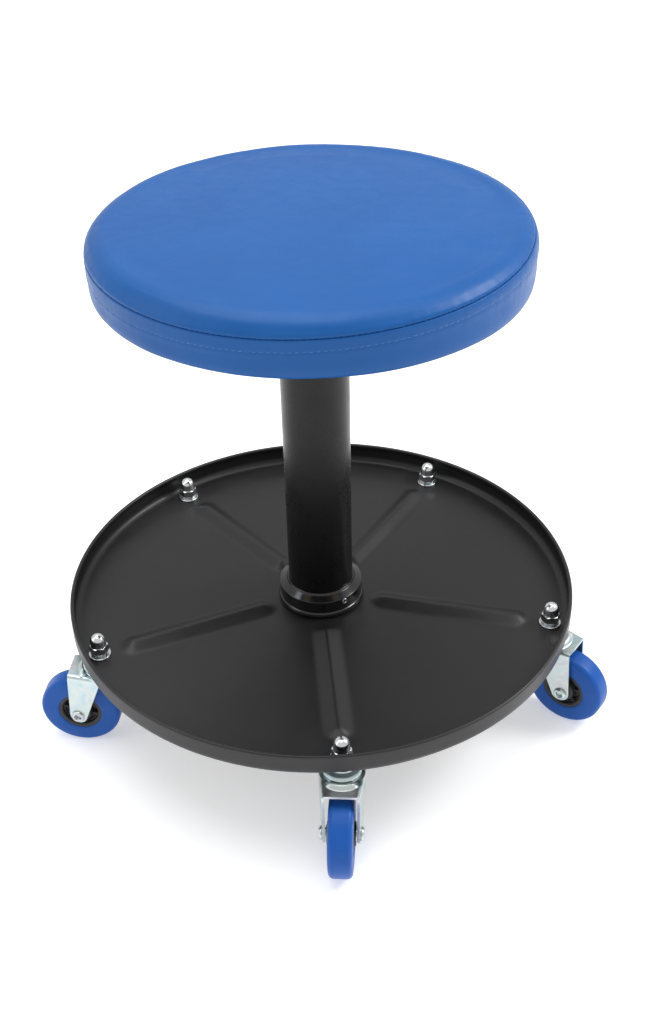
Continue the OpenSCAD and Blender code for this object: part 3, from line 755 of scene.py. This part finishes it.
def shoulder(c):
    """The bridge's pressed shoulder, which swells up to the race in front of the stem."""
    top = CROWN_TOP[c.n]
    around, across = 48, 14
    verts, faces = [], []
    for level in (0, 1):
        for i in range(across + 1):
            out = i / across
            r = SHOULDER_IN + (SHOULDER_OUT - SHOULDER_IN) * out
            swell = 0.5 + 0.5 * math.cos(math.pi * out ** 1.5)
            for k in range(around + 1):
                t = math.radians(SHOULDER_TURN * (2 * k / around - 1))
                fade = min(1.0, (SHOULDER_TURN - abs(math.degrees(t))) / SHOULDER_FADE)
                rise = SHOULDER_RISE * swell * fade * fade * (3 - 2 * fade)
                z = top - SHOULDER_SUNK if level else top - 0.02 + rise
                verts.append((r * math.cos(t), r * math.sin(t), z))
    wide = around + 1
    deep = (across + 1) * wide
    for i in range(across):
        for k in range(around):
            a = i * wide + k
            faces.append((a, a + 1, a + wide + 1, a + wide))
            faces.append((deep + a, deep + a + wide, deep + a + wide + 1, deep + a + 1))
    for k in range(around):
        for a in (k, across * wide + k):
            faces.append((a, a + 1, deep + a + 1, deep + a))
    for i in range(across):
        for a in (i * wide, i * wide + around):
            faces.append((a, a + wide, deep + a + wide, deep + a))
    return verts, faces


HEAD_R = 5.2
HEAD_H = 2.3


def rivet(c):
    """The hollow axle rivet: a shaft and two rolled heads."""
    half = FORK_W / 2 + 0.02
    side = [
        (0, half - 4), (2.3, half - 4), (2.3, half + 0.9), (3.0, half + HEAD_H), (4.3, half + HEAD_H),
        (HEAD_R, half + 0.9), (HEAD_R, half), (4.0, half)]
    outline = [(x, -z) for x, z in side] + [(x, z) for x, z in reversed(side)]
    soft = [0, 0.2, 0.6, 0.7, 0.9, 0.6, 0.15, 0.1]
    radii = soft + soft[::-1]
    upright = upright_at(c)
    piece(f"caster_{c.n}_rivet", *moved(lathe(fillet(outline, radii, 4), 64), upright), f"fork_{c.n}",
          "zinc_plate", (f"caster_{c.n}_axle",), sharp=60)


for c in casters.values():
    fork(c)
    rivet(c)


# ---------------------------------------------------------------- the stems' nuts, washers and races
NUT_CUT = 0.15
NUT_SLOPE = 1.75


def hexagon(t, flats):
    return flats / 2 / math.cos((t + math.pi / 6) % (math.pi / 3) - math.pi / 6)


def nut(flats, low, high, bore, chamfer_top=True, chamfer_low=False, segments=96, levels=16):
    """A hexagon nut whose corners are turned off to a cone, so that each flat ends in an arc."""
    corner = flats / 2 / math.cos(math.pi / 6)
    verts, faces = [], []
    side = [("side", low + (high - low) * k / levels) for k in range(levels + 1)]
    rows = [("bore", low)] + side + [("bore", high)]
    for i, (kind, z) in enumerate(rows):
        faces += between(i * segments, (i + 1) % len(rows) * segments, segments)
        for k in range(segments):
            t = 2 * math.pi * k / segments
            if kind == "bore":
                r = bore
            else:
                limit = corner
                if chamfer_top:
                    limit = min(limit, flats / 2 - NUT_CUT + (high - z) * NUT_SLOPE)
                if chamfer_low:
                    limit = min(limit, flats / 2 - NUT_CUT + (z - low) * NUT_SLOPE)
                r = min(hexagon(t, flats), limit)
            verts.append((r * math.cos(t), r * math.sin(t), z))
    return verts, faces


def at_stems(part, spin=0.0):
    out = []
    for c in casters.values():
        around = math.atan2(c.stem.y, c.stem.x)
        turn = Matrix.Rotation(around + spin * c.n, 4, "Z")
        out.append(moved(part, Matrix.Translation((c.stem.x, c.stem.y, 0)) @ turn))
    return joined(out)


cap_low, cap_high = box_mm("cap_nuts")
HEX_H = 6.4
DOME_R = 6.0
NUT_AF = 13.0
hex_top = cap_low.z + HEX_H
dome_base = cap_high.z - DOME_R
hex_part = nut(NUT_AF, cap_low.z, hex_top, STEM_R + SNUG, True, True)
dome = [(0, cap_high.z)]
for k in range(1, 13):
    t = math.radians(90 - 90 * k / 12)
    dome.append((DOME_R * math.cos(t), dome_base + DOME_R * math.sin(t)))
dome += [
    (DOME_R, hex_top + 0.9), (DOME_R + 0.12, hex_top + 0.35), (DOME_R + 0.25, hex_top - 0.05),
    (STEM_R + 0.2, hex_top - 0.3), (STEM_R + 0.2, dome_base + 1.0), (0, dome_base + 1.0)]
piece("dome_nuts", *at_stems(joined([hex_part, lathe(dome, 64)]), 0.9),
      "base", "nickel_plate", ("cap_nuts",), sharp=40)

washer_low, washer_high = box_mm("flat_washers")
SPRING_R = 6.7
SPRING_T = 2.0
SPRING_RISE = 0.25
WASHER_R = 8.6
WASHER_T = 1.6
UNDER_R = 12.0


def washer(r, low, high, bore=STEM_R + SNUG):
    return lathe(fillet([(bore, low), (r, low), (r, high), (bore, high)], [0.1, 0.35, 0.45, 0.15], 4), 72)


top_washer = washer(WASHER_R, TRAY_FLOOR, TRAY_FLOOR + WASHER_T)
under_washer = washer(UNDER_R, TRAY_UNDER - WASHER_T, TRAY_UNDER)
piece("plain_washers", *at_stems(joined([top_washer, under_washer])),
      "base", "bright_steel", ("flat_washers",), sharp=50)


def split_ring(low):
    """One turn of square wire with its cut ends a little apart."""
    verts, faces = [], []
    steps, cut = 64, math.radians(7)
    wire = SPRING_T - SPRING_RISE
    section = fillet([(STEM_R + SNUG, 0), (SPRING_R, 0), (SPRING_R, wire), (STEM_R + SNUG, wire)], 0.3, 3)
    n = len(section)
    for k in range(steps + 1):
        t = cut + (2 * math.pi - 2 * cut) * k / steps
        rise = SPRING_RISE * k / steps
        for r, z in section:
            verts.append((r * math.cos(t), r * math.sin(t), low + z + rise))
    for k in range(steps):
        faces += between(k * n, (k + 1) * n, n)
    faces.append(tuple(range(n)))
    faces.append(tuple(steps * n + i for i in reversed(range(n))))
    return verts, faces


piece("split_washers", *at_stems(split_ring(TRAY_FLOOR + WASHER_T), 1.7),
      "base", "zinc_plate", ("spring_washers",), sharp=45)

lock_low, lock_high = box_mm("lock_nuts")
lock_nut = nut(NUT_AF, lock_low.z, lock_high.z, STEM_R + SNUG, True, True, levels=10)
piece("hex_lock_nuts", *at_stems(lock_nut, 0.5),
      "base", "zinc_plate", ("lock_nuts",), sharp=40)

race_low, race_high = box_mm("race_cups")
inside_z = race_low.z + 0.7
cup = fillet([
    (STEM_R + SNUG, race_high.z), (STEM_R + SNUG, inside_z), (RACE_R - 2.4, inside_z),
    (RACE_R - 2.0, race_low.z), (RACE_R, race_low.z), (RACE_R, race_low.z + 2.9),
    (RACE_R - 0.8, race_low.z + 3.5), (RACE_R, race_low.z + 4.1), (RACE_R, race_low.z + 6.3),
    (RACE_R - 1.4, race_low.z + 8.0), (8.5, race_high.z)],
    [0.1, 0.1, 0.2, 0.2, 0.7, 0.5, 0.3, 0.5, 1.2, 1.0, 0.4], 5)
piece("race_domes", *at_stems(lathe(cup, 96)), "base", "zinc_plate", ("race_cups",), sharp=50)


# ---------------------------------------------------------------- other CAD solids, with broken edges
def refined(node, name, width_mm, body, angle=35):
    """The CAD solid with its tessellation cleaned and its sharp edges broken, as its own piece."""
    source = frame["nodes"][node]
    mesh = source.data.copy()
    mesh.name = name
    spare = mesh.attributes.get("custom_normal")
    if spare is not None:
        mesh.attributes.remove(spare)
    work = bmesh.new()
    work.from_mesh(mesh)
    bmesh.ops.remove_doubles(work, verts=work.verts, dist=3e-6)
    bmesh.ops.dissolve_limit(work, angle_limit=math.radians(0.6), verts=work.verts, edges=work.edges)
    bmesh.ops.recalc_face_normals(work, faces=work.faces)
    work.to_mesh(mesh)
    work.free()
    mesh.shade_smooth()
    mesh.set_sharp_from_angle(angle=math.radians(angle))
    mesh.materials.clear()
    mesh.materials.append(paints[node_slot[node]])
    ob = placed(name, mesh)
    soft_edges(ob, width_mm, 40)
    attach(ob, body)
    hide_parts(node)
    return ob


for node, name, width, body in (
        ("seat_plate", "seat_bracket", 0.5, "seat"), ("plate_screws", "bracket_screws", 0.25, "seat"),
        ("lift_lever", "lift_handle_bar", 0.4, "lever"), ("lever_grip", "lift_handle_grip", 0.4, "lever"),
        ("guide_bush", "column_guide", 0.4, "base"), ("socket_nut", "collar_ring_nut", 0.6, "base"),
        ("socket_screw", "collar_grub_screw", 0.2, "base"), ("staples", "cover_staples", 0.2, "seat"),
        ("lever_pin", "lever_hinge_pin", 0.3, "seat")):
    refined(node, name, width, body)


# ---------------------------------------------------------------- the padded seat
SEAM_UP = 26.0
SEAM_Z = SEAT_BASE + SEAM_UP
SEAT_TOP = seat_high.z
WRAP_R = 124.0
VINYL = 1.2
FOOT_R = 3.0
ROLL = 14.5
DOME_FALL = 3.0
board_low, board_high = box_mm("seat_board")
BOARD_R = (board_high.x - board_low.x) / 2
STITCH_DROP = 9.0
SEAM_RISE = 3.4
SEAM_LIFT = 1.8
SEAM_BACK = 3.4
STITCH_RISE = 2.6
BULGE = 1.9
BULGE_RIGHT = 0.5
PAD_SHRINK = 1.6
PAD_VOXEL = 5.0
PAD_CAP = 5.0
PAD_FRAMES = 20
PROBE = 9.0
# how much of the simulated folds shows: the vinyl is pulled tight, most of all on top
TOP_SHARE = 0.16
SIDE_SHARE = 0.55
FOLD_CAP = 0.6
SOFTEN_ROLL = 0.2


def seat_profile():
    """The cover from its stapled edge underneath, round the band, over the seam and up to the crown."""
    out = []
    r_side = SEAT_R
    for k in range(7):
        out.append((WRAP_R + (r_side - FOOT_R - WRAP_R) * k / 7, SEAT_BASE))
    for k in range(8):
        t = math.pi / 2 * k / 7
        out.append((r_side - FOOT_R + FOOT_R * math.sin(t), SEAT_BASE + FOOT_R * (1 - math.cos(t))))
    z = SEAT_BASE + FOOT_R
    marks = [(SEAM_Z - STITCH_DROP, 1.6, 0.32), (SEAM_Z, 2.2, 0.22)]
    while z < SEAM_Z:
        step = 1.5
        for at, reach, fine in marks:
            if abs(z - at) < reach:
                step = fine
        z = min(z + step, SEAM_Z)
        out.append((r_side, z))
    top_edge = SEAT_TOP - DOME_FALL - SEAM_Z
    steps = 34
    for k in range(1, steps + 1):
        a = math.pi / 2 * (k / steps) ** 1.35
        out.append((r_side - ROLL + ROLL * math.cos(a), SEAM_Z + top_edge * math.sin(a)))
    r = r_side - ROLL
    rim = r
    while r > 0.01:
        r = max(r - 4.0, 0.0)
        out.append((r, SEAT_TOP - DOME_FALL * (r / rim) ** 2))
    return out


def inflate(outline):
    """Cloth simulation of the pad: blown up from a slightly smaller body, held where it is stapled."""
    rows = [(0.0, SEAT_BASE)]
    for r, z in outline[::2]:
        up = max(0.0, min(1.0, (z - SEAT_BASE) / SEAM_UP))
        rows.append((max(r - PAD_SHRINK * up, 0.0), z - PAD_SHRINK * (1 if z > SEAM_Z else 0)))
    if rows[-1][0] > 0:
        rows.append((0.0, rows[-1][1]))
    verts, faces = lathe(rows, 160, closed=False)
    mesh = bpy.data.meshes.new("pad")
    mesh.from_pydata([tuple(c * MM for c in v) for v in verts], [], faces)
    pad = placed("pad", mesh)
    bpy.context.view_layer.objects.active = pad
    voxel = pad.modifiers.new("voxel", "REMESH")
    voxel.mode = "VOXEL"
    voxel.voxel_size = PAD_VOXEL * MM
    depth = bpy.context.evaluated_depsgraph_get()
    even = bpy.data.meshes.new_from_object(pad.evaluated_get(depth))
    pad.modifiers.clear()
    pad.data = even
    rest = np.array([v.co for v in even.vertices]) / MM
    held = pad.vertex_groups.new(name="held")
    for i, (x, y, z) in enumerate(rest):
        r = math.hypot(x, y)
        if z < SEAT_BASE + 3.0:
            held.add([i], 1.0, "REPLACE")
        elif abs(z - SEAM_Z) < 3.5 and r > SEAT_R - 9:
            held.add([i], 0.35, "REPLACE")
    cloth = pad.modifiers.new("cloth", "CLOTH")
    s = cloth.settings
    s.quality = 6
    s.mass = 0.35
    s.tension_stiffness = 22
    s.compression_stiffness = 18
    s.shear_stiffness = 8
    s.bending_stiffness = 1.2
    s.use_pressure = True
    s.uniform_pressure_force = 4.0
    s.vertex_group_mass = "held"
    s.effector_weights.gravity = 0
    cloth.collision_settings.use_collision = False
    cloth.collision_settings.use_self_collision = False
    scene = bpy.context.scene
    for f in range(1, PAD_FRAMES + 1):
        scene.frame_set(f)
    depth = bpy.context.evaluated_depsgraph_get()
    blown = pad.evaluated_get(depth).to_mesh()
    now = np.array([v.co for v in blown.vertices]) / MM
    pad.evaluated_get(depth).to_mesh_clear()
    scene.frame_set(1)
    move = now - rest
    length = np.linalg.norm(move, axis=1)
    keep = np.where(length > PAD_CAP, PAD_CAP / np.maximum(length, 1e-9), 1.0)
    final = rest + move * keep[:, None]
    polys = [tuple(p.vertices) for p in even.polygons]
    bpy.data.objects.remove(pad)
    return BVHTree.FromPolygons([Vector(p) for p in final], polys)


def smooth_round(field, width):
    """Smooths each row of a field around the seat, and a little across the rows."""
    n = field.shape[1]
    offset = np.minimum(np.arange(n), n - np.arange(n))
    kernel = np.exp(-0.5 * (offset / width) ** 2)
    kernel /= kernel.sum()
    turned = np.fft.rfft(field, axis=1) * np.fft.rfft(kernel)[None, :]
    field = np.fft.irfft(turned, n, axis=1)
    for _ in range(2):
        up = np.vstack([field[:1], field[:-1]])
        down = np.vstack([field[1:], field[-1:]])
        field = 0.25 * up + 0.5 * field + 0.25 * down
    return field


def seat_shape(segments=720):
    outline = seat_profile()
    n = len(outline)
    pts = np.array(outline)
    along = np.gradient(pts, axis=0)
    along /= np.linalg.norm(along, axis=1)[:, None]
    normal = np.stack([along[:, 1], -along[:, 0]], axis=1)
    push = np.zeros((n, segments))
    tree = inflate(outline)
    coarse = 144
    field = np.zeros((n, coarse))
    for i in range(n):
        for k in range(coarse):
            t = 2 * math.pi * k / coarse
            c, s = math.cos(t), math.sin(t)
            nr, nz = normal[i]
            within = pts[i, 0] - PROBE * nr
            start = Vector((within * c, within * s, pts[i, 1] - PROBE * nz))
            hit = tree.ray_cast(start, Vector((nr * c, nr * s, nz)), 20)
            field[i, k] = (hit[3] - PROBE) if hit[0] is not None else 0.0
    field = smooth_round(field, 1.6)
    mean = field.mean(axis=1, keepdims=True)
    rolled = np.clip((pts[:, 1] - SEAM_Z) / 3.0, 0, 1)[:, None]
    tight = np.where(pts[:, 0:1] < SEAT_R - 6, TOP_SHARE, SIDE_SHARE)
    field = np.clip((field - mean) * tight, -FOLD_CAP, FOLD_CAP)
    field += SOFTEN_ROLL * rolled * np.clip(mean, -1.5, 0.0)
    ring = np.arange(segments) * coarse / segments
    for i in range(n):
        wrapped = np.append(field[i], field[i, 0])
        push[i] = np.interp(ring, np.arange(coarse + 1), wrapped)
    return pts, normal, push


def waves(t, terms):
    """A sum of sine waves round the seat, each given by its count, height and phase."""
    return sum(a * np.sin(n * t + p) for n, a, p in terms)


STITCH_Z = SEAM_Z - STITCH_DROP
STITCHES = 226
SEAM_STITCHES = 262
GROOVE_DEEP = 0.95
GROOVE_HALF = 0.38
WELT = 0.45
DOUBLED = 0.42
DIMPLE = 0.26
TOP_PUCKER = 0.10
BAND_PUCKER = 0.07
BAND_SLACK = 0.28
PLEATS = 36
PLEAT_DEEP = 0.55
TOP_SAG = 0.3
STITCH_TURN = 0.55
CROWN_IN = 30.0
STITCH_DIVE = 0.62
STITCH_TAPER = 0.45
STITCH_SLANT = 0.10


def sewn(pts, push):
    """Adds what sewing does to the cover: the seam's groove, the doubled edge below it, stitch dimples,
    puckers and pleats."""
    n, segments = push.shape
    t = 2 * np.pi * np.arange(segments) / segments
    r, z = pts[:, 0:1], pts[:, 1:2]
    side = r > SEAT_R - ROLL - 1
    above = np.clip(z - SEAM_Z, 0, None) + np.clip(SEAT_R - r, 0, None)
    push = push.copy()
    groove = GROOVE_DEEP * np.exp(-((z - SEAM_Z) / GROOVE_HALF) ** 2) * side * (r > SEAT_R - 1.5)
    groove = groove * (1 + 0.12 * np.sin(SEAM_STITCHES * t))
    push -= groove
    push += side * (z > SEAM_Z) * WELT * np.exp(-((above - 2.4) / 2.2) ** 2)
    doubled = DOUBLED / (1 + np.exp(-(z - STITCH_Z + 2.6) / 0.35)) / (1 + np.exp((z - SEAM_Z + 0.2) / 0.3))
    push += side * (z <= SEAM_Z) * doubled
    line = np.exp(-((z - STITCH_Z) / 0.75) ** 2) * side * (z < SEAM_Z - 2)
    push -= line * (DIMPLE + 0.12 * np.cos(STITCHES * t))
    pucker = waves(t, [(71, 0.5, 0.3), (97, 0.6, 1.9), (131, 0.4, 4.0), (53, 0.4, 2.2)])
    push += side * (z > SEAM_Z - 1) * TOP_PUCKER * np.exp(-above / 6.0) * pucker
    lower = side * (z <= SEAM_Z) * (z > SEAT_BASE + 4)
    push += lower * BAND_PUCKER * np.exp(-np.abs(z - STITCH_Z) / 6.0) * pucker
    slack = waves(t, [(7, 0.5, 0.4), (11, 0.4, 2.6), (17, 0.35, 5.1), (29, 0.25, 1.0)])
    band = np.exp(-((z - SEAT_BASE - 9) / 6.0) ** 2) * (r > SEAT_R - 1)
    push += BAND_SLACK * band * slack
    round_band = np.clip((z - SEAT_BASE) / 7.0, 0, 1) * np.clip((SEAT_TOP - DOME_FALL - z) / 13.0, 0, 1)
    push += (r > SEAT_R - ROLL) * (BULGE + BULGE_RIGHT * np.cos(t)) * np.sin(round_band * np.pi / 2)
    pleat = (0.5 - 0.5 * np.cos(PLEATS * t)) * (0.8 + 0.2 * np.sin(5 * t + 1))
    under = (z < SEAT_BASE + 0.5) * np.clip((SEAT_R - 3 - r) / 12.0, 0, 1)
    push += PLEAT_DEEP * under * pleat
    top = (z > SEAM_Z + 3) * np.clip((SEAT_R - ROLL - r) / 30, 0, 1)
    push += TOP_SAG * top * waves(t, [(2, 0.35, 0.7), (3, 0.3, 2.9), (5, 0.2, 4.4)]) * (r / SEAT_R)
    return push


def nearest(pts, r, z):
    return int(np.argmin(np.abs(pts[:, 1] - z) + np.abs(pts[:, 0] - r)))


class Slide:
    """The seam and the top-stitching run off level, so the outline's points slide along the padded body,
    the seam up on to the shoulder on one side and down the band on the other."""

    def __init__(self, pts, normal):
        self.table = np.concatenate([pts, normal], axis=1)
        self.along = np.concatenate([[0], np.cumsum(np.linalg.norm(np.diff(pts, axis=0), axis=1))])
        self.seam = nearest(pts, SEAT_R, SEAM_Z)
        self.stitch = nearest(pts, SEAT_R, STITCH_Z)
        foot = nearest(pts, SEAT_R, SEAT_BASE + FOOT_R)
        crown = int(np.argmin(np.abs(pts[:, 0] - SEAT_R + ROLL + CROWN_IN)))
        self.stops = self.along[[0, foot, self.stitch, self.seam, crown, -1]]

    def __call__(self, t):
        """Radii, heights and the outward direction's two parts, at one direction round the seat."""
        rise = SEAM_LIFT + SEAM_RISE * math.cos(t) + SEAM_BACK * (1 + math.sin(t))
        by = [0, 0, rise + STITCH_RISE * math.cos(t + STITCH_TURN), rise, 0, 0]
        at = self.along + np.interp(self.along, self.stops, by)
        return [np.interp(at, self.along, column) for column in self.table.T]


def seat_mesh(slid, top, push):
    n, segments = push.shape
    verts, faces = [], []
    turns = 2 * np.pi * np.arange(segments) / segments
    lines = [slid(t) for t in turns]
    out = np.stack([r + nr * push[:, k] for k, (r, z, nr, nz) in enumerate(lines)], axis=1)
    up = np.stack([z + nz * push[:, k] for k, (r, z, nr, nz) in enumerate(lines)], axis=1)
    for i in range(n - 1):
        for k in range(segments):
            verts.append((out[i, k] * math.cos(turns[k]), out[i, k] * math.sin(turns[k]), up[i, k]))
    for i in range(n - 2):
        faces += between(i * segments, (i + 1) * segments, segments)
    tip = len(verts)
    verts.append((0, 0, top + push[-1].mean()))
    last = (n - 2) * segments
    for k in range(segments):
        faces.append((last + k, last + (k + 1) % segments, tip))
    # inside, the pad lies on the board
    board_r, board_z = BOARD_R + 0.4, board_high.z + 0.06
    under = SEAT_BASE + VINYL
    previous = 0
    for r, z in ((WRAP_R, under), (board_r, under), (board_r, board_z), (60.0, board_z)):
        start = len(verts)
        verts += circle(r, z, segments)
        faces += between(start, previous, segments)
        previous = start
    middle = len(verts)
    verts.append((0, 0, board_z))
    for k in range(segments):
        faces.append((previous + (k + 1) % segments, previous + k, middle))
    return verts, faces


def stitch_row(slid, row, count, length, thick, lift, push):
    """Short lengths of thread lying on the cover, their ends diving into it."""
    segments = push.shape[1]
    verts, faces = [], []
    ring, sections = 6, 7
    for s in range(count):
        t0 = 2 * math.pi * s / count
        base = len(verts)
        half = length / 2 / SEAT_R
        k = int(round(t0 / (2 * math.pi) * segments)) % segments
        for j in range(sections):
            u = -1 + 2 * j / (sections - 1)
            t = t0 + u * half
            r, z, nr, nz = (column[row] for column in slid(t))
            dive = (u * u) ** 1.6
            off = push[row, k] + lift - STITCH_DIVE * dive
            fat = thick * (1 - STITCH_TAPER * dive)
            middle_r, middle_z = r + nr * off, z + nz * off + STITCH_SLANT * u
            for q in range(ring):
                a = 2 * math.pi * q / ring
                rr = middle_r + fat * math.cos(a)
                verts.append((rr * math.cos(t), rr * math.sin(t), middle_z + fat * math.sin(a)))
        for j in range(sections - 1):
            faces += between(base + j * ring, base + (j + 1) * ring, ring)
        faces.append(tuple(base + q for q in reversed(range(ring))))
        faces.append(tuple(base + (sections - 1) * ring + q for q in range(ring)))
    return verts, faces


pts, normal, push = seat_shape()
push = sewn(pts, push)
slid = Slide(pts, normal)
seat = piece("seat_cushion", *seat_mesh(slid, pts[-1, 1], push), "seat", "blue_vinyl",
             ("seat_cover", "seat_foam"), sharp=75)
for name, row, count, length, thick, lift in (
        ("seat_topstitch", slid.stitch, STITCHES, 3.1, 0.32, 0.10),
        ("seat_seam_thread", slid.seam, SEAM_STITCHES, 2.2, 0.2, 0.05)):
    piece(name, *stitch_row(slid, row, count, length, thick, lift, push), "seat", "blue_vinyl", (),
          sharp=80, paint=thread_paint)


# ---------------------------------------------------------------- floor, light and camera
def stage_paint():
    # a lit studio table: pale, and glowing a little from below
    p = Paint("studio_floor", (0.80, 0.80, 0.81), 0.7, Emission_Color=(1, 1, 1, 1), Emission_Strength=0.42)
    p.colour(p.noise(3, 3), [(0.3, (0.79, 0.79, 0.80)), (0.7, (0.81, 0.81, 0.82))])
    return p.mat


def floor():
    work = bmesh.new()
    bmesh.ops.create_circle(work, cap_ends=True, segments=96, radius=9.0)
    mesh = bpy.data.meshes.new("studio_floor")
    work.to_mesh(mesh)
    work.free()
    mesh.materials.append(stage_paint())
    ob = placed("studio_floor", mesh)


floor()


def softbox(name, at, aim, size, power):
    data = bpy.data.lights.new(name, "AREA")
    data.shape = "RECTANGLE"
    data.size, data.size_y = size
    data.energy = power
    ob = placed(name, data)
    ob.location = at
    ob.rotation_euler = (Vector(aim) - Vector(at)).to_track_quat("-Z", "Y").to_euler()


softbox("overhead", (-0.25, 0.25, 2.3), (0, 0, 0.2), (1.9, 1.9), 30)
softbox("right_side", (1.75, 0.1, 1.75), (0, 0, 0.35), (0.8, 0.8), 30)
softbox("left_side", (-1.9, -0.3, 1.2), (0, 0, 0.25), (0.9, 1.4), 5)

world = bpy.data.worlds.new("studio")
world.use_nodes = True
world.node_tree.nodes["Background"].inputs["Color"].default_value = (1, 1, 1, 1)
world.node_tree.nodes["Background"].inputs["Strength"].default_value = 0.70
bpy.context.scene.world = world
bpy.context.scene.view_settings.view_transform = "Standard"

EYE = Vector((-0.04786, -0.81177, 0.7417))
PITCH, YAW, ROLLED = 0.6168, -0.06429, -0.0274
LENS = 45.08
ahead = Vector((-math.sin(YAW) * math.cos(PITCH), math.cos(YAW) * math.cos(PITCH), -math.sin(PITCH)))
level = Vector((math.cos(YAW), math.sin(YAW), 0))
upward = level.cross(ahead)
right = math.cos(ROLLED) * level + math.sin(ROLLED) * upward
up = -math.sin(ROLLED) * level + math.cos(ROLLED) * upward
camera_data = bpy.data.cameras.new("camera")
camera_data.lens = LENS
camera_data.sensor_width = 36.0
camera_data.clip_start = 0.01
camera = placed("camera", camera_data)
camera.matrix_world = Matrix.Translation(EYE) @ Matrix((right, up, -ahead)).transposed().to_4x4()
bpy.context.scene.camera = camera

bpy.context.view_layer.update()
